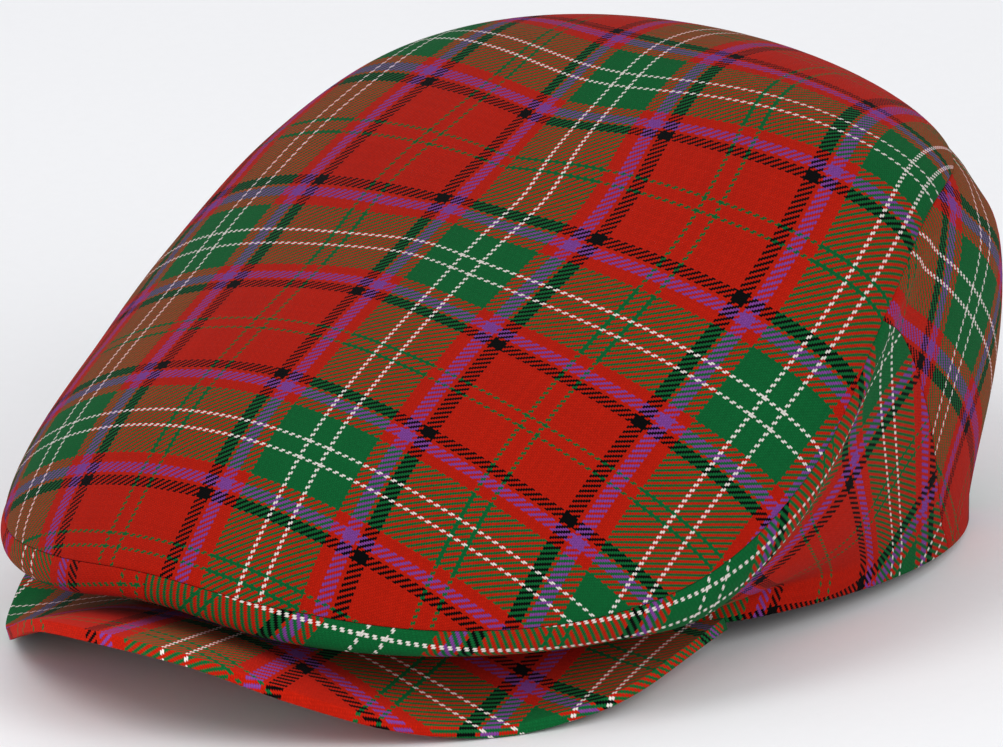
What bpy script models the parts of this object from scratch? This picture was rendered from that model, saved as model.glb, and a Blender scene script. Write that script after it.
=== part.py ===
"""A tartan flat cap: a domed top panel, two side panels, a back panel and an arched peak.

The wearer's front is -Y, the wearer's left is +X, and the cap stands on z = 0 as it would on a table.
The shape is worked out with the hem level at z = 0, and the whole cap is then tipped back a little,
until the low corners of the peak and the back of the hem touch the table together.
"""

import math
from collections import namedtuple

import bmesh
import bpy
from mathutils import Matrix, Vector

MM = 0.001

# Head opening, over the outside of the hem
HEAD_WIDTH = 177 * MM
HEAD_LENGTH = 201 * MM
HEAD_SQUARENESS = 2.2
HEM_HEIGHT = 8 * MM

# Crown: the seam round the top panel is an ellipse in plan, with its middle ahead of the head's
CROWN_WIDTH = 215 * MM
CROWN_LENGTH = 246 * MM
CROWN_LEAD = 37 * MM
CROWN_HEIGHT = 120 * MM

# How full the dome is in the middle, and how round its edge comes down: 2 and 2 make an ellipse
DOME_FULLNESS = 2.4
DOME_EDGE = 1.45

# Roll of cloth that hangs below the seam, and the swell of the walls
ROLL_HEIGHT = 6.5 * MM
ROLL_SWELL = 1.5 * MM
WALL_SWELL = 9 * MM

# How far below the seam the roll is widest and turns under, as shares of ROLL_HEIGHT, and where the
# fold and the middle of the wall come on the way from there down to the hem
ROLL_WIDEST = 0.5
ROLL_UNDERSIDE = 1.2
FOLD_PLACE = 0.15
WALL_MIDDLE = 0.55

# Peak
PEAK_WIDTH = 184 * MM
PEAK_REACH = 77 * MM
PEAK_ARCH = 21 * MM
PEAK_TIP_HEIGHT = 9.5 * MM
PEAK_THICKNESS = 3 * MM
PEAK_JOINT_ANGLE = 62

CLOTH = 2 * MM
SEAM_GAP = 0.3 * MM

# The slanting seam between side and back: its angle round the cap at the top and at the hem
SIDE_SEAM_TOP = 104.6
SIDE_SEAM_HEM = 119

# Where the hem starts to lie flat on the table, as a share of the way from the middle of the head
# opening to its back
REST_SHARE = 0.8

# Edges with a sharper turn than this, in degrees, stay sharp in the shading
SHARP_TURN = 50

# A share small enough to count as nothing
TINY = 1e-6

# Sections round the cap, by angle from the middle of the front. width is the seam's reach to the side
# as a share of its ellipse's. seam and dome are shares of CROWN_HEIGHT: the seam's own height, and how
# far the dome would stand over it. fold is how deep the wall is tucked in under the roll, as a share of
# ROLL_HEIGHT, and swell is the wall's bulge, as a share of WALL_SWELL.
Section = namedtuple("Section", "angle width seam dome fold swell")
SECTIONS = (
    Section(0, 1.0, 0.183, 0.32, 0.0, 0.0),
    Section(20, 1.0, 0.152, 0.39, 0.0, 0.0),
    Section(40, 1.0, 0.121, 0.484, 0.0, 0.0),
    Section(60, 1.0, 0.134, 0.49, 0.4, 0.0),
    Section(75, 1.0, 0.203, 0.47, 0.7, 0.0),
    Section(90, 1.0, 0.373, 0.40, 0.6, 0.0),
    Section(105, 0.975, 0.605, 0.294, 0.2, 0.0),
    Section(120, 0.97, 0.754, 0.262, -0.5, 0.4),
    Section(140, 1.03, 0.788, 0.27, -1.3, 0.8),
    Section(160, 1.04, 0.785, 0.25, -1.3, 0.8),
    Section(180, 1.04, 0.77, 0.24, -1.3, 0.8),
)

# The peak's outer edge, from the middle of the front to the joint at the hem. across is a share of
# half PEAK_WIDTH, ahead a share of the way from the joint to the tip, drop a share of PEAK_ARCH.
EdgePoint = namedtuple("EdgePoint", "share across ahead drop")
PEAK_EDGE = (
    EdgePoint(0.0, 0.0, 1.0, 0.0),
    EdgePoint(0.15, 0.27, 0.955, 0.13),
    EdgePoint(0.30, 0.48, 0.85, 0.52),
    EdgePoint(0.45, 0.67, 0.715, 0.88),
    EdgePoint(0.60, 0.84, 0.57, 1.0),
    EdgePoint(0.72, 0.96, 0.43, 0.84),
    EdgePoint(0.82, 1.0, 0.32, 0.68),
    EdgePoint(0.92, 0.975, 0.16, 0.5),
    EdgePoint(1.0, 0.915, 0.0, 0.42),
)

# Cells of each piece's grid. The walls share their rows, so that their cut edges match at the seams.
TOP_CELLS = 24
WALL_ROWS = 12
SIDE_COLUMNS = 24
BACK_COLUMNS = 26
PEAK_CELLS = (30, 7)

# The small step, as a share of a piece, between the points that show which way its surface runs
STEP = 0.004


def read_table(rows, at, odd_start=(), odd_end=()):
    """Every column of the table at a place between its rows, smooth, and mirrored past both ends.

    The columns named for an end run straight on through it, and the others level out there.
    """
    places = [row[0] for row in rows]
    after = next((i for i, place in enumerate(places) if place >= at), len(rows) - 1)
    after = max(after, 1)
    near = [beyond_ends(rows, i, odd_start, odd_end) for i in range(after - 2, after + 2)]
    step = near[2][0] - near[1][0]
    share = min(max((at - near[1][0]) / step, 0.0), 1.0)
    values = []
    for before, low, high, beyond in zip(*near):
        start = (high - before) / (near[2][0] - near[0][0]) * step
        end = (beyond - low) / (near[3][0] - near[1][0]) * step
        values.append(hermite(low, high, start, end, share))
    return type(rows[0])(*values)


def beyond_ends(rows, index, odd_start, odd_end):
    """The table's row at an index that may lie one row outside it."""
    if 0 <= index < len(rows):
        return rows[index]
    end, inside, odd = rows[0], rows[1], odd_start
    if index > 0:
        end, inside, odd = rows[-1], rows[-2], odd_end
    values = [2 * end[0] - inside[0]]
    for name in inside._fields[1:]:
        value = getattr(inside, name)
        values.append(2 * getattr(end, name) - value if name in odd else value)
    return type(inside)(*values)


def hermite(low, high, start, end, share):
    """A cubic from low to high with these slopes at its ends."""
    square, cube = share * share, share**3
    return (
        low * (2 * cube - 3 * square + 1)
        + start * (cube - 2 * square + share)
        + high * (3 * square - 2 * cube)
        + end * (cube - square)
    )


def section_at(degrees):
    """The section at any angle round the cap, which is the same on both sides."""
    return read_table(SECTIONS, abs((degrees + 180) % 360 - 180))


def seam_point(degrees):
    """A point of the seam round the top panel, at this angle from the middle of the front."""
    angle = math.radians(degrees)
    section = section_at(degrees)
    return Vector((
        CROWN_WIDTH / 2 * section.width * math.sin(angle),
        -CROWN_LEAD - CROWN_LENGTH / 2 * math.cos(angle),
        CROWN_HEIGHT * section.seam,
    ))


def outward(degrees):
    """The level direction that points away from the cap, square to the seam's plan."""
    angle = math.radians(degrees)
    return Vector((math.sin(angle) / CROWN_WIDTH, -math.cos(angle) / CROWN_LENGTH, 0)).normalized()


def hem_point(degrees):
    """A point of the hem's lower outer edge, on a rounded oval."""
    angle = math.radians(degrees)
    across = abs(math.sin(angle) / (HEAD_WIDTH / 2)) ** HEAD_SQUARENESS
    along = abs(math.cos(angle) / (HEAD_LENGTH / 2)) ** HEAD_SQUARENESS
    radius = (across + along) ** (-1 / HEAD_SQUARENESS)
    return Vector((radius * math.sin(angle), -radius * math.cos(angle), 0))


def wall_guides(degrees):
    """The points that steer the wall's section, from the hem up to the seam."""
    section = section_at(degrees)
    out, up = outward(degrees), Vector((0, 0, 1))
    seam, hem = seam_point(degrees), hem_point(degrees)
    hem_top = hem + up * HEM_HEIGHT
    under = seam - up * ROLL_UNDERSIDE * ROLL_HEIGHT - out * section.fold / 2 * ROLL_HEIGHT
    fold = under.lerp(hem_top, FOLD_PLACE) - out * section.fold * ROLL_HEIGHT
    middle = under.lerp(hem_top, WALL_MIDDLE) + out * section.swell * WALL_SWELL
    return (
        hem,
        hem + up * HEM_HEIGHT / 2,
        hem_top,
        middle,
        fold,
        under,
        seam - up * ROLL_WIDEST * ROLL_HEIGHT + out * ROLL_SWELL,
        seam,
    )


def wall_point(degrees, share):
    """A point of the wall: share 0 is the hem and 1 the seam. The section is a quadratic spline."""
    guides = wall_guides(degrees)
    spans = len(guides) - 2
    span = min(max(int(share * spans), 0), spans - 1)
    local = share * spans - span
    first, middle, last = guides[span : span + 3]
    start = first if span == 0 else (first + middle) / 2
    end = last if span == spans - 1 else (middle + last) / 2
    return start * (1 - local) ** 2 + middle * 2 * local * (1 - local) + end * local**2


def dome_point(across, along):
    """A point of the top panel. Its place is given in a unit disc that is the panel spread flat.

    The dome stands on the seam, with its height read from the sections at the same place along the cap.
    """
    spread = max(math.hypot(across, along), TINY)
    reach = math.sin(min(spread, 1) * math.pi / 2)
    x, y = across / spread * reach, along / spread * reach
    station = section_at(math.degrees(math.acos(min(max(-y, -1), 1))))
    rise = (1 - reach**DOME_FULLNESS) ** (1 / DOME_EDGE)
    return Vector((
        CROWN_WIDTH / 2 * station.width * x,
        -CROWN_LEAD + CROWN_LENGTH / 2 * y,
        CROWN_HEIGHT * (station.seam + station.dome * rise),
    ))


def peak_point(share, out):
    """A point of the peak's middle layer: share runs from one joint (-1) to the other, out from the hem."""
    side = -1 if share < 0 else 1
    joint = hem_point(PEAK_JOINT_ANGLE)
    hem_front = hem_point(0)
    inner = hem_point(PEAK_JOINT_ANGLE * share)
    inner += outward(PEAK_JOINT_ANGLE * share) * SEAM_GAP
    edge = read_table(PEAK_EDGE, abs(share), ("across",), ("across", "ahead", "drop"))
    tip = hem_front.y - PEAK_REACH
    outer = Vector((
        side * edge.across * PEAK_WIDTH / 2,
        joint.y + (tip - joint.y) * edge.ahead,
        PEAK_TIP_HEIGHT - PEAK_ARCH * edge.drop,
    ))
    return inner.lerp(outer, out)


def slope(point, u, v):
    """The two directions in which a surface runs at (u, v), found from its points close by."""
    return (
        (point(u + STEP, v) - point(u - STEP, v)).normalized(),
        (point(u, v + STEP) - point(u, v - STEP)).normalized(),
    )


def new_collection(name):
    collection = bpy.data.collections.new(name)
    bpy.context.scene.collection.children.link(collection)
    return collection


def new_material(name, colour, roughness):
    material = bpy.data.materials.new(name)
    material.use_nodes = True
    shader = material.node_tree.nodes["Principled BSDF"]
    shader.inputs["Base Color"].default_value = (*colour, 1)
    shader.inputs["Roughness"].default_value = roughness
    shader.inputs["Metallic"].default_value = 0
    return material


def mitre(one, other):
    """The direction in which two walls with these outward normals meet, long enough to keep both thick."""
    return (one + other) / (1 + one.dot(other))


def wall_place(turn, share):
    return wall_point(360 * turn, share)


def wall_normal(degrees, share):
    around, rise = slope(wall_place, degrees / 360, share)
    return around.cross(rise).normalized()


def dome_normal(across, along):
    right, back = slope(dome_point, across, along)
    return right.cross(back).normalized()


def side_seam(share):
    """The angle round the cap of the seam between side and back, at this share of the wall's height."""
    return SIDE_SEAM_HEM + (SIDE_SEAM_TOP - SIDE_SEAM_HEM) * share


def wall_layers(degrees_at, u, v):
    """The outer and inner points of a wall panel, whose edges keep half a seam gap back."""
    point = wall_point(degrees_at(u, v), v)
    around, rise = slope(lambda a, b: wall_point(degrees_at(a, b), b), u, v)
    normal = around.cross(rise).normalized()
    if v == 1:
        angle = math.radians(degrees_at(u, v))
        normal = mitre(normal, dome_normal(math.sin(angle), -math.cos(angle)))
        point -= rise * SEAM_GAP / 2
    if v == 0:
        normal = Vector((normal.x, normal.y, 0)).normalized()
    if u in (0, 1):
        point += around * SEAM_GAP / 2 * (1 - 2 * u)
    return point, point - normal * CLOTH


def side_layers(u, v):
    return wall_layers(lambda a, b: a * side_seam(b), u, v)


def back_layers(u, v):
    return wall_layers(lambda a, b: side_seam(b) + a * (360 - 2 * side_seam(b)), u, v)


def disc_place(u, v):
    """The place in the unit disc of a point of the unit square, so that square rings become round ones."""
    u, v = 2 * u - 1, 2 * v - 1
    if max(abs(u), abs(v)) < TINY:
        return 0, 0
    if abs(u) >= abs(v):
        radius, angle = u, math.pi / 4 * v / u
    else:
        radius, angle = v, math.pi / 2 - math.pi / 4 * u / v
    return radius * math.cos(angle), radius * math.sin(angle)


def top_layers(u, v):
    """The outer and inner points of the top panel, whose edge keeps half a seam gap back."""
    across, along = disc_place(u, v)
    point = dome_point(across, along)
    normal = dome_normal(across, along)
    if {u, v} & {0, 1}:
        edge = math.degrees(math.atan2(across, -along))
        inward = (dome_point(across * (1 - STEP), along * (1 - STEP)) - point).normalized()
        normal = mitre(normal, wall_normal(edge, 1))
        point += inward * SEAM_GAP / 2
    return point, point - normal * CLOTH


def peak_layers(u, v):
    """The upper and lower points of the peak, which keeps its thickness about its middle layer."""
    share = 2 * u - 1
    point = peak_point(share, v)
    normal = Vector((0, 0, 1))
    if v > 0:
        around, out = slope(peak_point, share, v)
        normal = out.cross(around).normalized()
    return point + normal * PEAK_THICKNESS / 2, point - normal * PEAK_THICKNESS / 2


def sheet(name, cells, layers, material, collection):
    """A closed sheet: a grid is given a second layer, then each point goes to its place on either face."""
    form = bmesh.new()
    bmesh.ops.create_grid(form, x_segments=cells[0], y_segments=cells[1], size=0.5)
    second = bmesh.ops.extrude_face_region(form, geom=form.faces[:], use_keep_orig=True)
    inner = {vert for vert in second["geom"] if isinstance(vert, bmesh.types.BMVert)}
    for vert in form.verts:
        u, v = round(vert.co.x + 0.5, 6), round(vert.co.y + 0.5, 6)
        vert.co = layers(u, v)[vert in inner]
    bmesh.ops.recalc_face_normals(form, faces=form.faces[:])
    mesh = bpy.data.meshes.new(name)
    form.to_mesh(mesh)
    form.free()
    mesh.materials.append(material)
    piece = bpy.data.objects.new(name, mesh)
    collection.objects.link(piece)
    return piece


def mirrored_piece(piece, name, collection):
    """The same piece on the wearer's other side."""
    mesh = piece.data.copy()
    mesh.transform(Matrix.Scale(-1, 4, (1, 0, 0)))
    mesh.flip_normals()
    mesh.name = name
    other = bpy.data.objects.new(name, mesh)
    collection.objects.link(other)
    return other


def rest_tilt(peak, line):
    """How far the cap tips back about a line across it, for the peak's lowest point to reach the table."""
    return max(math.atan2(-vert.co.z, line.y - vert.co.y) for vert in peak.data.vertices)


def lay_down(pieces, tilt, line):
    """Tips the cap back about a line across it, and flattens what would reach below the table."""
    turn = Matrix.Translation(line) @ Matrix.Rotation(-tilt, 4, "X") @ Matrix.Translation(-line)
    for piece in pieces:
        piece.data.transform(turn)
        for vert in piece.data.vertices:
            vert.co.z = max(vert.co.z, 0)


def centre_lengthwise(pieces):
    """Moves the cap along Y until its overall length is centred on the origin."""
    places = [vert.co.y for piece in pieces for vert in piece.data.vertices]
    for piece in pieces:
        piece.data.transform(Matrix.Translation((0, -(min(places) + max(places)) / 2, 0)))


def shade(pieces):
    for piece in pieces:
        piece.data.shade_smooth()
        piece.data.set_sharp_from_angle(angle=math.radians(SHARP_TURN))


def build():
    for item in list(bpy.data.objects):
        bpy.data.objects.remove(item, do_unlink=True)
    cap = new_collection("flat_cap")
    red = new_material("top_tartan", (0.47, 0.02, 0.01), 0.9)
    side_red = new_material("side_tartan", (0.42, 0.02, 0.012), 0.9)
    back_red = new_material("back_tartan", (0.38, 0.02, 0.015), 0.9)
    peak_red = new_material("peak_tartan", (0.36, 0.018, 0.012), 0.9)
    top = sheet("top_panel", (TOP_CELLS, TOP_CELLS), top_layers, red, cap)
    left = sheet("side_panel_left", (SIDE_COLUMNS, WALL_ROWS), side_layers, side_red, cap)
    right = mirrored_piece(left, "side_panel_right", cap)
    back = sheet("back_panel", (BACK_COLUMNS, WALL_ROWS), back_layers, back_red, cap)
    peak = sheet("peak", PEAK_CELLS, peak_layers, peak_red, cap)
    pieces = (top, left, right, back, peak)
    rest_line = Vector((0, hem_point(180).y * REST_SHARE, 0))
    lay_down(pieces, rest_tilt(peak, rest_line), rest_line)
    centre_lengthwise(pieces)
    shade(pieces)


build()
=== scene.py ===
# %% [markdown]
# # A tartan flat cap
#
# The cap is five pieces of wool cloth: a domed top panel, two side panels, a back panel and a short
# arched peak. Every piece could be drawn by hand as a rough box and then sculpted. Here each one is
# a thin sheet that follows a surface worked out from a few named sizes, because a sewn cap is just
# that: flat cloth led round a form. Lengths are in metres, the wearer's front is -Y and the wearer's
# left is +X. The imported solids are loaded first, and the cloth pieces then stand in their places.

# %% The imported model
import functools
import math
from collections import namedtuple

import bmesh
import bpy
from mathutils import Matrix, Vector


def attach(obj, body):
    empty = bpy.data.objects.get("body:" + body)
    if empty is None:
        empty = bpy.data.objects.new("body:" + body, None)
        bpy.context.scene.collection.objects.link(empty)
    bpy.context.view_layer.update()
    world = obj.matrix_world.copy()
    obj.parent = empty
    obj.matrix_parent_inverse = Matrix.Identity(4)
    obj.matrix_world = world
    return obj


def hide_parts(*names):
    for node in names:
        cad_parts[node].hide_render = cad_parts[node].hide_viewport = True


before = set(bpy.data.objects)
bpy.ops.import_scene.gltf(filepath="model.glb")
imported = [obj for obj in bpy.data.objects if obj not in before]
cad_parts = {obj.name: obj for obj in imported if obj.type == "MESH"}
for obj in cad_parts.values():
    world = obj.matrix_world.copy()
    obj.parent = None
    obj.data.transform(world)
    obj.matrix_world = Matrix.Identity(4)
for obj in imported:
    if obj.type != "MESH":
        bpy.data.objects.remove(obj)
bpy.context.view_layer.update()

MM = 0.001
print("packed nodes:", ", ".join(sorted(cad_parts)))

# %% [markdown]
# ## Sizes of the cap
#
# On a real cap the hatter starts from the head: its width and length give the hem. The crown, which
# is the top panel's outline, is wider and longer than the head and sits ahead of it, so the cloth
# hangs over the peak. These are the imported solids' sizes, so that the cloth comes to lie where they
# are. Only the seams are narrower, a tenth of a millimetre, because sewn cloth shows no gap. Angles
# are in degrees round the cap, from the middle of the front.

# %% Named sizes
HEAD_WIDTH = 177 * MM
HEAD_LENGTH = 201 * MM
HEAD_SQUARENESS = 2.2
HEM_HEIGHT = 8 * MM
CROWN_WIDTH = 215 * MM
CROWN_LENGTH = 246 * MM
CROWN_LEAD = 37 * MM
CROWN_HEIGHT = 120 * MM
DOME_FULLNESS = 2.4
DOME_EDGE = 1.45
ROLL_HEIGHT = 6.5 * MM
ROLL_SWELL = 1.5 * MM
ROLL_WIDEST = 0.5
ROLL_UNDERSIDE = 1.2
FOLD_PLACE = 0.15
BELLY_START = 0.8
WALL_MIDDLE = 0.55
WALL_SWELL = 9 * MM
PEAK_WIDTH = 184 * MM
PEAK_REACH = 77 * MM
PEAK_ARCH = 21 * MM
PEAK_TIP_HEIGHT = 9.5 * MM
PEAK_THICKNESS = 3 * MM
PEAK_JOINT_ANGLE = 62
CLOTH = 2 * MM
SEAM_GAP = 0.1 * MM
SIDE_SEAM_TOP = 104.6
SIDE_SEAM_HEM = 119
print(f"crown {CROWN_WIDTH / MM:.0f} x {CROWN_LENGTH / MM:.0f} mm, {CROWN_HEIGHT / MM:.0f} mm high")

# %% [markdown]
# ## Sections round the cap
#
# The seam dips low over the peak and climbs steeply to the back, and the wall under it is tucked in
# at the sides and swells at the back. A table says how the cap looks at a few angles round it, and
# a smooth curve joins its rows. That is the same as drawing a few sections on paper and fairing
# through them, and it is easier to change than a net of points. Where the photograph shows the
# rolled edge fuller, the roll column and BELLY_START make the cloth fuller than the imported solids.

# %% Sections and the peak's edge
# width is a share of CROWN_WIDTH. seam and dome are shares of CROWN_HEIGHT: how high the seam lies and
# how far the dome would stand over it. roll and fold are shares of ROLL_HEIGHT: how deep the cloth
# rolls and how far it is tucked in below, or swells out where fold is negative. swell is a share of
# WALL_SWELL. On the peak's edge, share runs from the middle to the joint, across is a share of half
# PEAK_WIDTH, ahead of the reach from joint to tip and drop of PEAK_ARCH.
Section = namedtuple("Section", "angle width seam dome roll fold swell")
SECTIONS = (
    Section(0, 1.0, 0.183, 0.32, 1.0, 0.0, 0.0),
    Section(20, 1.0, 0.152, 0.39, 1.15, 0.0, 0.0),
    Section(40, 1.0, 0.121, 0.484, 0.9, 0.0, 0.0),
    Section(60, 1.0, 0.134, 0.49, 1.0, 0.4, 0.0),
    Section(75, 1.0, 0.203, 0.47, 1.6, 0.7, 0.0),
    Section(90, 1.0, 0.373, 0.40, 1.5, 0.6, 0.0),
    Section(105, 0.975, 0.605, 0.294, 1.2, 0.2, 0.0),
    Section(120, 0.97, 0.754, 0.262, 1.0, -0.45, 0.4),
    Section(140, 1.03, 0.788, 0.27, 1.0, -1.1, 0.8),
    Section(160, 1.04, 0.785, 0.25, 1.0, -1.1, 0.8),
    Section(180, 1.04, 0.77, 0.24, 1.0, -1.1, 0.8),
)
EdgePoint = namedtuple("EdgePoint", "share across ahead drop")
PEAK_EDGE = (
    EdgePoint(0.0, 0.0, 1.0, 0.0),
    EdgePoint(0.15, 0.27, 0.955, 0.13),
    EdgePoint(0.30, 0.48, 0.85, 0.52),
    EdgePoint(0.45, 0.67, 0.715, 0.88),
    EdgePoint(0.60, 0.84, 0.57, 1.0),
    EdgePoint(0.72, 0.96, 0.43, 0.84),
    EdgePoint(0.82, 1.0, 0.32, 0.68),
    EdgePoint(0.92, 0.975, 0.16, 0.5),
    EdgePoint(1.0, 0.915, 0.0, 0.42),
)
print(len(SECTIONS), "sections round the cap and", len(PEAK_EDGE), "points on the peak's edge")


# %% Reading a table smoothly
def read_table(rows, at, odd_start=(), odd_end=()):
    """Every column at a place between the rows. Columns named for an end run straight on there."""
    places = [row[0] for row in rows]
    after = next((i for i, place in enumerate(places) if place >= at), len(rows) - 1)
    after = max(after, 1)
    near = [beyond_ends(rows, i, odd_start, odd_end) for i in range(after - 2, after + 2)]
    step = near[2][0] - near[1][0]
    share = min(max((at - near[1][0]) / step, 0.0), 1.0)
    values = []
    for before, low, high, beyond in zip(*near):
        start = (high - before) / (near[2][0] - near[0][0]) * step
        end = (beyond - low) / (near[3][0] - near[1][0]) * step
        values.append(hermite(low, high, start, end, share))
    return type(rows[0])(*values)


def beyond_ends(rows, index, odd_start, odd_end):
    """The row at an index that may lie one row outside the table."""
    if 0 <= index < len(rows):
        return rows[index]
    end, inside, odd = rows[0], rows[1], odd_start
    if index > 0:
        end, inside, odd = rows[-1], rows[-2], odd_end
    values = [2 * end[0] - inside[0]]
    for name in inside._fields[1:]:
        value = getattr(inside, name)
        values.append(2 * getattr(end, name) - value if name in odd else value)
    return type(inside)(*values)


def hermite(low, high, start, end, share):
    """A cubic from low to high with these slopes at its ends."""
    square, cube = share * share, share**3
    return (
        low * (2 * cube - 3 * square + 1)
        + start * (cube - 2 * square + share)
        + high * (3 * square - 2 * cube)
        + end * (cube - square)
    )


@functools.lru_cache(maxsize=None)
def section_at(degrees):
    """The section at any angle round the cap, which is the same on both sides."""
    return read_table(SECTIONS, abs((degrees + 180) % 360 - 180))


print("seam height at the side:", round(CROWN_HEIGHT * section_at(90).seam / MM, 1), "mm")

# %% [markdown]
# ## The wall between hem and crown
#
# Under the top panel's seam the cloth rolls over, turns back in below the roll and runs down to the
# hem. A spline through a few guide points gives that section at every angle. A lofted surface would
# do the same by hand; a function has the advantage that it can be asked for any point, also for the
# distance over the cloth that the tartan needs later.


# %% Seam, hem and wall
def seam_point(degrees):
    """A point of the seam round the top panel, at this angle from the middle of the front."""
    angle = math.radians(degrees)
    section = section_at(degrees)
    return Vector((
        CROWN_WIDTH / 2 * section.width * math.sin(angle),
        -CROWN_LEAD - CROWN_LENGTH / 2 * math.cos(angle),
        CROWN_HEIGHT * section.seam,
    ))


def outward(degrees):
    """The level direction that points away from the cap, square to the seam's plan."""
    angle = math.radians(degrees)
    return Vector((math.sin(angle) / CROWN_WIDTH, -math.cos(angle) / CROWN_LENGTH, 0)).normalized()


def hem_point(degrees):
    """A point of the hem's lower outer edge, on a rounded oval."""
    angle = math.radians(degrees)
    across = abs(math.sin(angle) / (HEAD_WIDTH / 2)) ** HEAD_SQUARENESS
    along = abs(math.cos(angle) / (HEAD_LENGTH / 2)) ** HEAD_SQUARENESS
    radius = (across + along) ** (-1 / HEAD_SQUARENESS)
    return Vector((radius * math.sin(angle), -radius * math.cos(angle), 0))


@functools.lru_cache(maxsize=None)
def wall_guides(degrees):
    """The points that steer the wall's section, from the hem up to the seam."""
    section = section_at(degrees)
    out, up = outward(degrees), Vector((0, 0, 1))
    seam, hem = seam_point(degrees), hem_point(degrees)
    hem_top = hem + up * HEM_HEIGHT
    height = ROLL_HEIGHT * section.roll
    tuck, belly = max(section.fold, 0), max(-section.fold, 0)
    under = seam - up * ROLL_UNDERSIDE * height - out * (tuck / 2 - belly * BELLY_START) * ROLL_HEIGHT
    fold = under.lerp(hem_top, FOLD_PLACE) - out * section.fold * ROLL_HEIGHT
    middle = under.lerp(hem_top, WALL_MIDDLE) + out * section.swell * WALL_SWELL
    roll = seam - up * ROLL_WIDEST * height + out * (1 + belly) * ROLL_SWELL
    return hem, hem + up * HEM_HEIGHT / 2, hem_top, middle, fold, under, roll, seam


def wall_point(degrees, share):
    """A point of the wall: share 0 is the hem and 1 the seam. The section is a quadratic spline."""
    guides = wall_guides(degrees)
    spans = len(guides) - 2
    span = min(max(int(share * spans), 0), spans - 1)
    local = share * spans - span
    first, middle, last = guides[span : span + 3]
    start = first if span == 0 else (first + middle) / 2
    end = last if span == spans - 1 else (middle + last) / 2
    return start * (1 - local) ** 2 + middle * 2 * local * (1 - local) + end * local**2


print("wall height at the back:", round(seam_point(180).z / MM, 1), "mm")

# %% [markdown]
# ## The domed top and the peak
#
# The top panel is round in plan and stands on the seam, fuller in the middle than an ellipse and
# softly rounded at its rim. The peak is a curved leaf between the front of the hem and its own
# arched edge. Both are again functions of two numbers, so that a plain grid can be laid on them.

# %% Dome and peak
TINY = 1e-6
STEP = 0.004


def dome_point(across, along):
    """A point of the top panel, from its place in a unit disc that is the panel spread flat."""
    spread = max(math.hypot(across, along), TINY)
    reach = math.sin(min(spread, 1) * math.pi / 2)
    x, y = across / spread * reach, along / spread * reach
    station = section_at(math.degrees(math.acos(min(max(-y, -1), 1))))
    rise = (1 - reach**DOME_FULLNESS) ** (1 / DOME_EDGE)
    return Vector((
        CROWN_WIDTH / 2 * station.width * x,
        -CROWN_LEAD + CROWN_LENGTH / 2 * y,
        CROWN_HEIGHT * (station.seam + station.dome * rise),
    ))


def peak_point(share, out):
    """A point of the peak's middle layer: share runs from joint (-1) to joint (1), out from the hem."""
    side = -1 if share < 0 else 1
    joint = hem_point(PEAK_JOINT_ANGLE)
    inner = hem_point(PEAK_JOINT_ANGLE * share)
    inner += outward(PEAK_JOINT_ANGLE * share) * SEAM_GAP
    edge = read_table(PEAK_EDGE, abs(share), ("across",), ("across", "ahead", "drop"))
    tip = hem_point(0).y - PEAK_REACH
    outer = Vector((
        side * edge.across * PEAK_WIDTH / 2,
        joint.y + (tip - joint.y) * edge.ahead,
        PEAK_TIP_HEIGHT - PEAK_ARCH * edge.drop,
    ))
    return inner.lerp(outer, out)


def slope(point, u, v):
    """The two directions in which a surface runs at (u, v), found from its points close by."""
    return (
        (point(u + STEP, v) - point(u - STEP, v)).normalized(),
        (point(u, v + STEP) - point(u, v - STEP)).normalized(),
    )


print("top of the dome:", round(max(dome_point(0, a / 20).z for a in range(-20, 21)) / MM, 1), "mm")


# %% [markdown]
# ## Cloth with two faces
#
# Cloth has a thickness, and where two panels meet their edges have to close up like the corners of
# a picture frame. Each point of a panel therefore gets an outer and an inner place. Solidify could
# add the thickness, but it would not mitre the edges towards the neighbouring panel.

# %% Layers of each panel
def mitre(one, other):
    """The direction in which two walls with these normals meet, long enough to keep both thick."""
    return (one + other) / (1 + one.dot(other))


def wall_normal(degrees, share):
    around, rise = slope(lambda turn, height: wall_point(360 * turn, height), degrees / 360, share)
    return around.cross(rise).normalized()


def dome_normal(across, along):
    right, back = slope(dome_point, across, along)
    return right.cross(back).normalized()


def side_seam(share):
    """The angle of the seam between side and back, at this share of the wall's height."""
    return SIDE_SEAM_HEM + (SIDE_SEAM_TOP - SIDE_SEAM_HEM) * share


def side_degrees(u, v):
    return u * side_seam(v)


def back_degrees(u, v):
    return side_seam(v) + u * (360 - 2 * side_seam(v))


def wall_layers(degrees_at, u, v):
    """The outer and inner points of a wall panel, whose edges keep half a seam gap back."""
    point = wall_point(degrees_at(u, v), v)
    around, rise = slope(lambda a, b: wall_point(degrees_at(a, b), b), u, v)
    normal = around.cross(rise).normalized()
    if v == 1:
        angle = math.radians(degrees_at(u, v))
        normal = mitre(normal, dome_normal(math.sin(angle), -math.cos(angle)))
        point -= rise * SEAM_GAP / 2
    if v == 0:
        normal = Vector((normal.x, normal.y, 0)).normalized()
    if u in (0, 1):
        point += around * SEAM_GAP / 2 * (1 - 2 * u)
    return point, point - normal * CLOTH


def disc_place(u, v):
    """The place in the unit disc of a point of the unit square, so that square rings become round."""
    u, v = 2 * u - 1, 2 * v - 1
    if max(abs(u), abs(v)) < TINY:
        return 0, 0
    if abs(u) >= abs(v):
        radius, angle = u, math.pi / 4 * v / u
    else:
        radius, angle = v, math.pi / 2 - math.pi / 4 * u / v
    return radius * math.cos(angle), radius * math.sin(angle)


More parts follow.
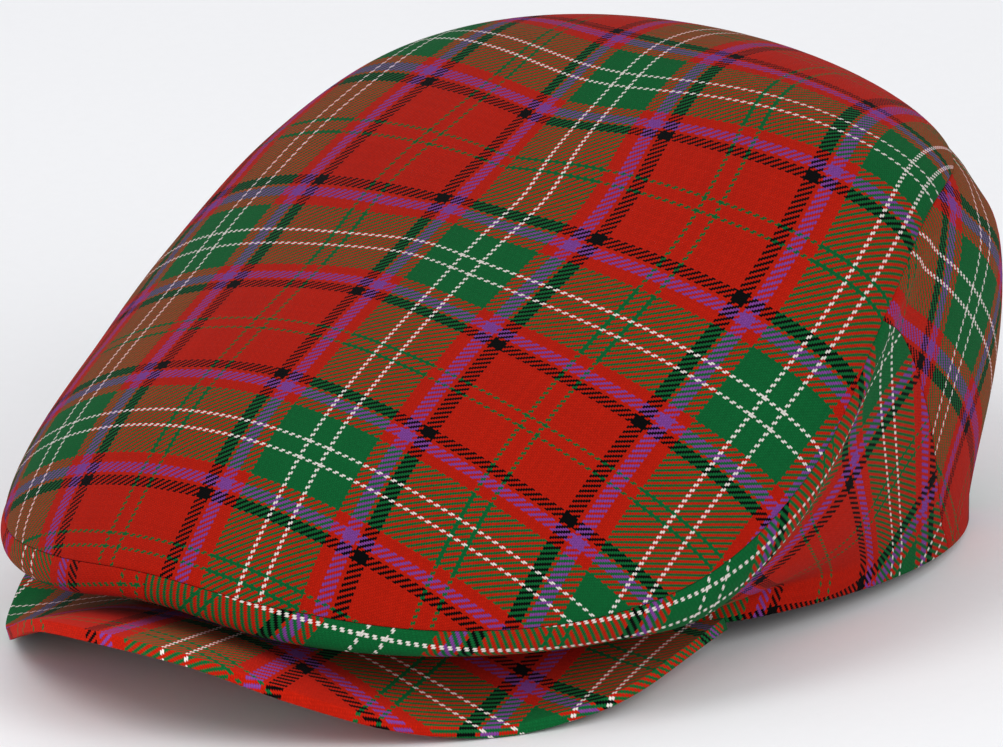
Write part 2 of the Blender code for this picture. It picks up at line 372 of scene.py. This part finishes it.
def top_layers(u, v):
    """The outer and inner points of the top panel, whose edge keeps half a seam gap back."""
    across, along = disc_place(u, v)
    point = dome_point(across, along)
    normal = dome_normal(across, along)
    if {u, v} & {0, 1}:
        edge = math.degrees(math.atan2(across, -along))
        inward = (dome_point(across * (1 - STEP), along * (1 - STEP)) - point).normalized()
        normal = mitre(normal, wall_normal(edge, 1))
        point += inward * SEAM_GAP / 2
    return point, point - normal * CLOTH


def peak_layers(u, v):
    """The upper and lower points of the peak, which keeps its thickness about its middle layer."""
    share = 2 * u - 1
    point = peak_point(share, v)
    normal = Vector((0, 0, 1))
    if v > 0:
        around, out = slope(peak_point, share, v)
        normal = out.cross(around).normalized()
    return point + normal * PEAK_THICKNESS / 2, point - normal * PEAK_THICKNESS / 2


print("cloth", CLOTH / MM, "mm, peak", PEAK_THICKNESS / MM, "mm")

# %% [markdown]
# ## How the tartan lies on each panel
#
# Tartan is woven flat, so on a real cap its lines run on without a break in each panel and jump at
# the seams. The pattern therefore follows distances over the cloth, which are measured here first.
# A flat projection from above would be simpler, but it would smear the checks down the steep sides.

# %% Distances over the cloth
WALL_MARKS = 40
HUNDRED = 100 * MM


def running_total(points):
    total, lengths = 0.0, [0.0]
    for before, point in zip(points, points[1:]):
        total += (point - before).length
        lengths.append(total)
    return lengths


def between(values, place):
    """The value at a place between the numbers of a list."""
    low = min(int(place), len(values) - 2)
    return values[low] + (values[low + 1] - values[low]) * (place - low)


SEAM_RUN = running_total([seam_point(degrees) for degrees in range(361)])


@functools.lru_cache(maxsize=None)
def wall_drop(degrees):
    """Distances down the wall from the seam, at even shares of its height from the seam to the hem."""
    return running_total([wall_point(degrees, 1 - mark / WALL_MARKS) for mark in range(WALL_MARKS + 1)])


@functools.lru_cache(maxsize=None)
def dome_run(degrees):
    """Distances over the top panel from its middle out to the seam, in one direction."""
    x, y = math.sin(math.radians(degrees)), -math.cos(math.radians(degrees))
    return running_total([dome_point(x * mark / WALL_MARKS, y * mark / WALL_MARKS)
                          for mark in range(WALL_MARKS + 1)])


def wall_place(degrees, share):
    """How far round the seam and how far down the wall a point lies, in hundreds of millimetres."""
    mark = (1 - share) * WALL_MARKS
    drops = [between(wall_drop(int(degrees) + side), mark) for side in (0, 1)]
    return between(SEAM_RUN, degrees) / HUNDRED, between(drops, degrees % 1) / HUNDRED


def dome_place(across, along):
    """How far across and along the top panel's cloth a point lies from its middle."""
    spread = math.hypot(across, along)
    if spread < TINY:
        return 0, 0
    degrees = math.degrees(math.atan2(across, -along)) % 360
    runs = [between(dome_run((int(degrees) + side) % 360), spread * WALL_MARKS) for side in (0, 1)]
    run = between(runs, degrees % 1) / HUNDRED
    return across / spread * run, along / spread * run


print("seam round the crown:", round(SEAM_RUN[-1] / MM), "mm")

# %% [markdown]
# ## Thread numbers
#
# The cloth has about two threads to the millimetre. On a panel the numbers of the warp and the weft
# thread grow nearly evenly with the distance over the cloth. One row for each says which thread
# passes the start of the panel, how many are passed in a hundred millimetres across and along it,
# and how steaming twisted or bowed them. All are counted from the middle of a red check. A net of
# measured places could follow one cap closer, but it would be long, and hard to change by hand.

# %% The lay of the threads
# The top panel starts at its middle. A side starts at the seam in the middle of the front, with across
# round the seam and along down the wall. The back starts at the top of its middle, with across away
# from there. The peak starts on the cap's middle line, a hundred millimetres ahead of the middle of
# the head opening.
Lay = namedtuple("Lay", "start across along twist bow")
TOP_WARP = Lay(start=54, across=190, along=18, twist=30, bow=0)
TOP_WEFT = Lay(start=143, across=0, along=228, twist=0, bow=-35)
LEFT_WARP = Lay(start=-35, across=193, along=165, twist=-55, bow=0)
LEFT_WEFT = Lay(start=95, across=-15, along=165, twist=25, bow=0)
RIGHT_WARP = Lay(start=10, across=-187, along=0, twist=0, bow=0)
RIGHT_WEFT = Lay(start=-10, across=-25, along=204, twist=0, bow=0)
BACK_WARP = Lay(start=-134, across=170, along=120, twist=0, bow=0)
BACK_WEFT = Lay(start=198, across=-150, along=150, twist=0, bow=0)
PEAK_WARP = Lay(start=-85, across=190, along=50, twist=0, bow=0)
PEAK_WEFT = Lay(start=125, across=0, along=190, twist=0, bow=0)


def thread_at(lay, across, along):
    """The number of the thread that passes a place, given in hundreds of millimetres."""
    even = lay.start + lay.across * across + lay.along * along
    return even + lay.twist * across * along + lay.bow * across**2


# %% From a place on the cloth to its threads
def top_threads(u, v):
    across, along = dome_place(*disc_place(u, v))
    return [thread_at(lay, across, along) for lay in (TOP_WARP, TOP_WEFT)]


def side_threads(lays, u, v):
    around, down = wall_place(side_degrees(u, v), v)
    return [thread_at(lay, around, down) for lay in lays]


def left_threads(u, v):
    return side_threads((LEFT_WARP, LEFT_WEFT), u, v)


def right_threads(u, v):
    return side_threads((RIGHT_WARP, RIGHT_WEFT), u, v)


def back_threads(u, v):
    """On the bias, so past the middle of the back warp and weft change places."""
    around, down = wall_place(back_degrees(u, v), v)
    aside = SEAM_RUN[180] / HUNDRED - around
    warp, weft = [thread_at(lay, abs(aside), down) for lay in (BACK_WARP, BACK_WEFT)]
    if aside >= 0:
        return warp, weft
    jump = BACK_WARP.start - BACK_WEFT.start
    return weft + jump, warp - jump


def peak_threads(u, v):
    point = peak_point(2 * u - 1, v)
    across, ahead = point.x / HUNDRED, point.y / HUNDRED + 1
    return [thread_at(lay, across, ahead) for lay in (PEAK_WARP, PEAK_WEFT)]


def under_peak_threads(u, v):
    """The cloth goes on round the rim and runs back under the peak."""
    rim, inside, here = [peak_point(2 * u - 1, out) for out in (1, 1 - STEP, v)]
    run = ((rim - here).length + PEAK_THICKNESS) / (rim - inside).length
    pairs = zip(peak_threads(u, 1), peak_threads(u, 1 - STEP))
    return [at_rim + (at_rim - before) * run for at_rim, before in pairs]


print("threads at the top panel's middle:", [round(number) for number in top_threads(0.5, 0.5)])

# %% [markdown]
# ## Tartan twill
#
# A tartan repeats one list of stripes in both directions, mirrored at the middle of the red check
# and at the middle of the green one. Where a warp and a weft stripe cross, a two-and-two twill shows
# each for two threads in turn, which gives the diagonal hatch. A picture of cloth would do for one
# view; here the weave is worked out thread by thread from the thread numbers, so it stays sharp close
# by, and the bump follows the same threads.

# %% The stripes
Stripe = namedtuple("Stripe", "colour threads")
SETT = (
    Stripe("red", 3.5),
    Stripe("green", 2),
    Stripe("red", 30),
    Stripe("black", 7),
    Stripe("red", 2),
    Stripe("purple", 7),
    Stripe("red", 7),
    Stripe("green", 18.5),
    Stripe("white", 2),
    Stripe("green", 5.5),
)
HALF_SETT = sum(stripe.threads for stripe in SETT)
DYES = {
    "red": (188, 28, 8),
    "green": (12, 98, 48),
    "black": (4, 4, 4),
    "purple": (129, 65, 149),
    "white": (232, 226, 216),
}


def screen_colour(values, dye_and_painted_light):
    """A colour read off a screen, from 0 to 255, as Blender's linear colour, scaled down by a factor
    that holds both the cloth's own darkness and painted light.
    """
    return [((value / 255 + 0.055) / 1.055) ** 2.4 * dye_and_painted_light for value in values] + [1]


print("half the sett:", HALF_SETT, "threads")


# %% Helpers for nodes
def new_node(tree, kind, settings=(), inputs=()):
    """A node with its settings made, and its inputs given as numbers or joined to other sockets."""
    node = tree.nodes.new(kind)
    for name, value in dict(settings).items():
        setattr(node, name, value)
    for name, value in dict(inputs).items():
        if isinstance(value, bpy.types.NodeSocket):
            tree.links.new(value, node.inputs[name])
        else:
            node.inputs[name].default_value = value
    return node


def sum_node(tree, operation, *values):
    """One step of arithmetic."""
    return new_node(tree, "ShaderNodeMath", {"operation": operation}, enumerate(values)).outputs[0]


def stripe_colour(tree, thread, dye_and_painted_light):
    """The colour of a thread, looked up in the sett by its distance from the red check's middle."""
    place = sum_node(tree, "DIVIDE", sum_node(tree, "PINGPONG", thread, HALF_SETT), HALF_SETT)
    ramp = new_node(tree, "ShaderNodeValToRGB", (), {"Fac": place})
    ramp.color_ramp.interpolation = "CONSTANT"
    stops = ramp.color_ramp.elements
    start = 0.0
    for number, stripe in enumerate(SETT):
        stop = stops[number] if number < 1 else stops.new(start / HALF_SETT)
        stop.color = screen_colour(DYES[stripe.colour], dye_and_painted_light)
        start += stripe.threads
    stops.remove(stops[-1])
    return ramp.outputs["Color"]


# %% The twill material
THREADS_IN_TWILL = 4
THREADS_PASSED = THREADS_IN_TWILL / 2
BOW_HEIGHT = 4.0
UNEVENNESS = 0.07
FUZZ_SCALE = 2600.0
DRIFT_SCALE = 28.0
FUZZ_SHADES = (0.78, 1.22)
DRIFT_SHADES = (0.94, 1.06)
# Painted shade: how much darker the colour is where the yarn lies low, between the threads.
HOLLOW_PAINTED_SHADE = (0.72, 1.08)
CLOTH_ROUGHNESS = (0.82, 0.98)
FUZZ_RELIEF = 0.5
YARN_RELIEF = 0.15 * MM
BUMP_STRENGTH = 0.5
CLOTH_SHINE = 0.04
CLOTH_SHEEN = 0.02
SHEEN_ROUGHNESS = 0.5


def yarn_height(tree, across, along):
    """How high a yarn stands: round across its thread, and bowed over the two threads it crosses."""
    height = 1.0
    for place in (across, along):
        bow = sum_node(tree, "MULTIPLY", place, sum_node(tree, "SUBTRACT", 1.0, place))
        height = sum_node(tree, "MULTIPLY", height, sum_node(tree, "SQRT", bow))
    return sum_node(tree, "MULTIPLY", height, BOW_HEIGHT)


def spread_between(tree, value, limits):
    """A value from 0 to 1, spread out between two limits."""
    ends = {"Value": value, "To Min": limits[0], "To Max": limits[1]}
    return new_node(tree, "ShaderNodeMapRange", (), ends).outputs["Result"]


def own_shade(tree, thread):
    """A little lighter or darker for every single thread, as dyed wool is."""
    chance = new_node(tree, "ShaderNodeTexWhiteNoise", {"noise_dimensions": "1D"}, {"W": thread})
    return spread_between(tree, chance.outputs["Value"], (1 - UNEVENNESS, 1 + UNEVENNESS))


def yarn_run(tree, past):
    """How far along its pass over two threads a yarn is, from how many threads it is past the start."""
    run = sum_node(tree, "FLOORED_MODULO", past, THREADS_IN_TWILL)
    return sum_node(tree, "MINIMUM", sum_node(tree, "MULTIPLY", run, 1 / THREADS_PASSED), 1.0)


def tartan(name, dye_and_painted_light):
    """The tartan as a material. The dyes are scaled by a factor that is partly how dark the cloth is
    and partly painted light: each panel is made lighter or darker for how the light falls on it.
    """
    material = bpy.data.materials.new(name)
    material.use_nodes = True
    tree = material.node_tree
    shader = tree.nodes["Principled BSDF"]
    lay = new_node(tree, "ShaderNodeUVMap", {"uv_map": "threads"})
    split = new_node(tree, "ShaderNodeSeparateXYZ", (), {"Vector": lay.outputs["UV"]})
    places = [split.outputs["X"], split.outputs["Y"]]
    warp, weft = [sum_node(tree, "FLOOR", place) for place in places]
    within = [sum_node(tree, "FRACT", place) for place in places]

    step = sum_node(tree, "FLOORED_MODULO", sum_node(tree, "SUBTRACT", warp, weft), THREADS_IN_TWILL)
    weft_on_top = sum_node(tree, "GREATER_THAN", step, THREADS_PASSED - 0.5)
    colours = [stripe_colour(tree, thread, dye_and_painted_light) for thread in (warp, weft)]
    shades = [own_shade(tree, thread) for thread in (warp, sum_node(tree, "ADD", weft, 0.5))]
    colour = new_node(tree, "ShaderNodeMix", {"data_type": "RGBA"},
                      {0: weft_on_top, 6: colours[0], 7: colours[1]}).outputs[2]
    shade = new_node(tree, "ShaderNodeMix", (), {0: weft_on_top, 2: shades[0], 3: shades[1]}).outputs[0]

    ahead = sum_node(tree, "SUBTRACT", sum_node(tree, "ADD", warp, 1.0), places[1])
    beside = sum_node(tree, "SUBTRACT", sum_node(tree, "SUBTRACT", places[0], weft), THREADS_PASSED)
    heights = [yarn_height(tree, within[0], yarn_run(tree, ahead)),
               yarn_height(tree, within[1], yarn_run(tree, beside))]
    height = new_node(tree, "ShaderNodeMix", (),
                      {0: weft_on_top, 2: heights[0], 3: heights[1]}).outputs[0]

    where = new_node(tree, "ShaderNodeTexCoord").outputs["Object"]
    fine = {"Vector": where, "Scale": FUZZ_SCALE, "Detail": 3.0, "Roughness": 0.6}
    fuzz = new_node(tree, "ShaderNodeTexNoise", (), fine).outputs["Fac"]
    coarse = {"Vector": where, "Scale": DRIFT_SCALE, "Detail": 2.0}
    drift = new_node(tree, "ShaderNodeTexNoise", (), coarse).outputs["Fac"]
    # The random tone of each thread, the fuzz and the drift darken or lighten the colour; the last step
    # is painted shade, darker where the yarn lies low in the weave's hollows.
    light = shade
    for value, limits in ((fuzz, FUZZ_SHADES), (drift, DRIFT_SHADES), (height, HOLLOW_PAINTED_SHADE)):
        light = sum_node(tree, "MULTIPLY", light, spread_between(tree, value, limits))
    finished = new_node(tree, "ShaderNodeVectorMath", {"operation": "SCALE"},
                        {"Vector": colour, "Scale": light}).outputs["Vector"]
    tree.links.new(finished, shader.inputs["Base Color"])

    relief = sum_node(tree, "ADD", height, sum_node(tree, "MULTIPLY", fuzz, FUZZ_RELIEF))
    bump = new_node(tree, "ShaderNodeBump", (),
                    {"Height": relief, "Strength": BUMP_STRENGTH, "Distance": YARN_RELIEF})
    tree.links.new(bump.outputs["Normal"], shader.inputs["Normal"])
    tree.links.new(spread_between(tree, fuzz, CLOTH_ROUGHNESS), shader.inputs["Roughness"])
    shader.inputs["Specular IOR Level"].default_value = CLOTH_SHINE
    shader.inputs["Sheen Weight"].default_value = CLOTH_SHEEN
    shader.inputs["Sheen Roughness"].default_value = SHEEN_ROUGHNESS
    print(name, "has", len(tree.nodes), "nodes")
    return material


# Lit and shaded copies of one tartan. The factors are painted light for how the light falls on each
# panel, and the peak, in shade under the crown, is painted much lighter.
top_cloth = tartan("top_tartan", 0.69)
side_cloth = tartan("side_tartan", 0.73)
back_cloth = tartan("back_tartan", 0.71)
peak_cloth = tartan("peak_tartan", 0.98)

# %% [markdown]
# ## Laying the cap on the table
#
# By itself a cap lies on the low corners of its peak and on the back of its hem, so it is tipped
# back a little about a line across the hem. The turn and the small shift that follow are those of
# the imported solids. They go into the meshes, and the objects stay unturned at the origin.

# %% Rest
REST_TILT = math.radians(3.7016)
REST_LINE = Vector((0, 80.4 * MM, 0))
REST_SHIFT = Vector((0, 35.648 * MM, 0))
rest = (
    Matrix.Translation(REST_SHIFT + REST_LINE)
    @ Matrix.Rotation(-REST_TILT, 4, "X")
    @ Matrix.Translation(-REST_LINE)
)
print("tipped back by", round(math.degrees(REST_TILT), 1), "degrees")


# %% [markdown]
# ## Sewing a panel
#
# Every panel starts as a flat grid that is extruded into a second layer. Its points then go to their
# places on the outer or the inner face, and the open edges are beveled, because folded cloth has no
# sharp rim. Each corner of a face keeps its thread numbers in a UV map, so the tartan is drawn on the
# cloth and not in the room.

# %% A sheet of cloth
CLOTH_EDGE = 0.25 * MM
EDGE_SEGMENTS = 3
PLACE_DIGITS = 6


def panel(name, cells, layers, threads, material, edge=CLOTH_EDGE, mirrored=False, under=None):
    """One piece of cloth, from its grid of cells, its two layers and the threads at its places."""
    form = bmesh.new()
    bmesh.ops.create_grid(form, x_segments=cells[0], y_segments=cells[1], size=0.5)
    second = bmesh.ops.extrude_face_region(form, geom=form.faces[:], use_keep_orig=True)
    inner = {vert for vert in second["geom"] if isinstance(vert, bmesh.types.BMVert)}
    places = {vert: tuple(round(value + 0.5, PLACE_DIGITS) for value in vert.co.xy)
              for vert in form.verts}
    spots = set(places.values())
    upper = {place: threads(*place) for place in spots}
    lower = {place: under(*place) for place in spots} if under else upper
    uv = form.loops.layers.uv.new("threads")
    for face in form.faces:
        for loop in face.loops:
            numbers = lower if loop.vert in inner else upper
            loop[uv].uv = numbers[places[loop.vert]]
    rims = []
    for line in form.edges:
        one, other = line.verts
        (u0, v0), (u1, v1) = places[one], places[other]
        on_rim = (u0 == u1 and u0 in (0, 1)) or (v0 == v1 and v0 in (0, 1))
        if on_rim and (one in inner) == (other in inner) and places[one] != places[other]:
            rims.append(line)
    for vert in form.verts:
        vert.co = layers(*places[vert])[vert in inner]
    if mirrored:
        bmesh.ops.scale(form, vec=(-1, 1, 1), verts=form.verts[:])
    bmesh.ops.recalc_face_normals(form, faces=form.faces[:])
    bmesh.ops.bevel(form, geom=rims, offset=edge, segments=EDGE_SEGMENTS, profile=0.5,
                    affect="EDGES", material=-1, offset_type="OFFSET", clamp_overlap=True)
    bmesh.ops.transform(form, matrix=rest, verts=form.verts[:])
    for vert in form.verts:
        vert.co.z = max(vert.co.z, 0)
    mesh = bpy.data.meshes.new(name)
    form.to_mesh(mesh)
    form.free()
    mesh.materials.append(material)
    mesh.shade_smooth()
    piece = bpy.data.objects.new(name, mesh)
    bpy.context.scene.collection.objects.link(piece)
    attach(piece, "root")
    print(name, "has", len(mesh.polygons), "faces")
    return piece


# %% [markdown]
# ## The top panel
#
# This is the large oval that makes the cap: one cut of cloth, steamed into a dome. It could be
# a squashed sphere, but the sections make it long, low at the front and full at the back.

# %% Top panel
TOP_CELLS = (96, 96)
top = panel("cloth_top", TOP_CELLS, top_layers, top_threads, top_cloth)
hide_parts("top_panel")

# %% [markdown]
# ## The side panels
#
# Two long bands run from the middle of the front to the slanting seams at the back. They are cut as
# a pair, so the right one is the left one mirrored, with its own run of the tartan.

# %% Side panels
WALL_CELLS = (110, 44)


def side_layers(u, v):
    return wall_layers(side_degrees, u, v)


left = panel("cloth_side_left", WALL_CELLS, side_layers, left_threads, side_cloth)
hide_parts("side_panel_left")
right = panel("cloth_side_right", WALL_CELLS, side_layers, right_threads, side_cloth,
              mirrored=True)
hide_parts("side_panel_right")

# %% [markdown]
# ## The back panel
#
# The back is cut on the bias, so its checks stand on their corners and the cloth gives a little
# over the head. It fills the gap between the two slanting seams.


# %% Back panel
def back_layers(u, v):
    return wall_layers(back_degrees, u, v)


back = panel("cloth_back", WALL_CELLS, back_layers, back_threads, back_cloth)
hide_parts("back_panel")

# %% [markdown]
# ## The peak
#
# The peak has a stiff core with the cloth drawn tight over it, so it is a little thicker than the
# panels and its rim is nearly fully round.

# %% Peak
PEAK_CELLS = (100, 30)
PEAK_RIM = 1.3 * MM
peak = panel("cloth_peak", PEAK_CELLS, peak_layers, peak_threads, peak_cloth, PEAK_RIM,
             under=under_peak_threads)
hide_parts("peak")

# %% [markdown]
# ## Table, light and camera
#
# A product photograph has a pale ground and light from all round, so that every thread can be seen.
# A bright world gives the even light, and three large soft lamps give the form its shading.

# %% Table and light
FLOOR_SIZE = 6.0
FLOOR_DROP = 0.2 * MM
FLOOR_GRAIN = 300.0
FLOOR_TONES = (0.86, 0.88)
FLOOR_ROUGHNESS = 0.8
ROOM_COLOUR = (0.95, 0.96, 1.0, 1)
ROOM_LIGHT = 0.75
Lamp = namedtuple("Lamp", "name place size watts")
LAMPS = (
    Lamp("key_lamp", (-0.6, -1.6, 2.2), 1.6, 20),
    Lamp("fill_lamp", (2.2, -0.2, 1.4), 1.6, 23),
    Lamp("front_lamp", (0.3, -2.4, 0.6), 1.4, 8),
)


def plain_floor():
    form = bmesh.new()
    bmesh.ops.create_grid(form, x_segments=1, y_segments=1, size=FLOOR_SIZE / 2)
    bmesh.ops.translate(form, vec=(0, 0, -FLOOR_DROP), verts=form.verts[:])
    mesh = bpy.data.meshes.new("table_top")
    form.to_mesh(mesh)
    form.free()
    material = bpy.data.materials.new("pale_table")
    material.use_nodes = True
    tree = material.node_tree
    where = new_node(tree, "ShaderNodeTexCoord").outputs["Object"]
    speckle = {"Vector": where, "Scale": FLOOR_GRAIN}
    grain = new_node(tree, "ShaderNodeTexNoise", (), speckle).outputs["Fac"]
    shader = tree.nodes["Principled BSDF"]
    tree.links.new(spread_between(tree, grain, FLOOR_TONES), shader.inputs["Base Color"])
    shader.inputs["Roughness"].default_value = FLOOR_ROUGHNESS
    mesh.materials.append(material)
    table = bpy.data.objects.new("table_top", mesh)
    bpy.context.scene.collection.objects.link(table)


def soft_lamp(row):
    lamp = bpy.data.lights.new(row.name, "AREA")
    lamp.shape = "DISK"
    lamp.size = row.size
    lamp.energy = row.watts
    holder = bpy.data.objects.new(row.name, lamp)
    holder.location = row.place
    holder.rotation_euler = (-Vector(row.place)).to_track_quat("-Z", "Y").to_euler()
    bpy.context.scene.collection.objects.link(holder)


plain_floor()
for row in LAMPS:
    soft_lamp(row)
world = bpy.data.worlds.new("pale_room")
world.use_nodes = True
background = world.node_tree.nodes["Background"]
background.inputs["Color"].default_value = ROOM_COLOUR
background.inputs["Strength"].default_value = ROOM_LIGHT
bpy.context.scene.world = world
bpy.context.scene.view_settings.view_transform = "Standard"
print(len(LAMPS), "soft lamps over a table", FLOOR_SIZE, "m wide")

# %% Camera
AZIMUTH = math.radians(39.78)
ELEVATION = math.radians(15.4)
ROLL = math.radians(0.51)
VIEW_WIDTH = 244.2 * MM
SENSOR = 36 * MM
LENS = 1200 * MM
AIM = Vector((0, -2.2, 0)) * MM
AIM_ASIDE = -16.0 * MM
AIM_ABOVE = 37.8 * MM
SIGHT_END = 100


def photo_camera():
    """The camera is set where it sees the cap before it was laid down, and tipped with it."""
    level = Vector((math.cos(AZIMUTH), math.sin(AZIMUTH), 0))
    upright = Vector((
        -math.sin(AZIMUTH) * math.sin(ELEVATION),
        math.cos(AZIMUTH) * math.sin(ELEVATION),
        math.cos(ELEVATION),
    ))
    away = level.cross(upright)
    right = math.cos(ROLL) * level + math.sin(ROLL) * upright
    up = math.cos(ROLL) * upright - math.sin(ROLL) * level
    eye = AIM + right * AIM_ASIDE + up * AIM_ABOVE + away * (LENS / SENSOR * VIEW_WIDTH)
    pose = Matrix((right, up, away)).transposed().to_4x4()
    pose.translation = eye
    camera = bpy.data.cameras.new("photo_camera")
    camera.sensor_width = SENSOR / MM
    camera.lens = LENS / MM
    camera.clip_end = SIGHT_END
    holder = bpy.data.objects.new("photo_camera", camera)
    holder.matrix_world = rest @ pose
    bpy.context.scene.collection.objects.link(holder)
    bpy.context.scene.camera = holder
    print("camera", round((rest @ eye).length, 2), "m away")


photo_camera()
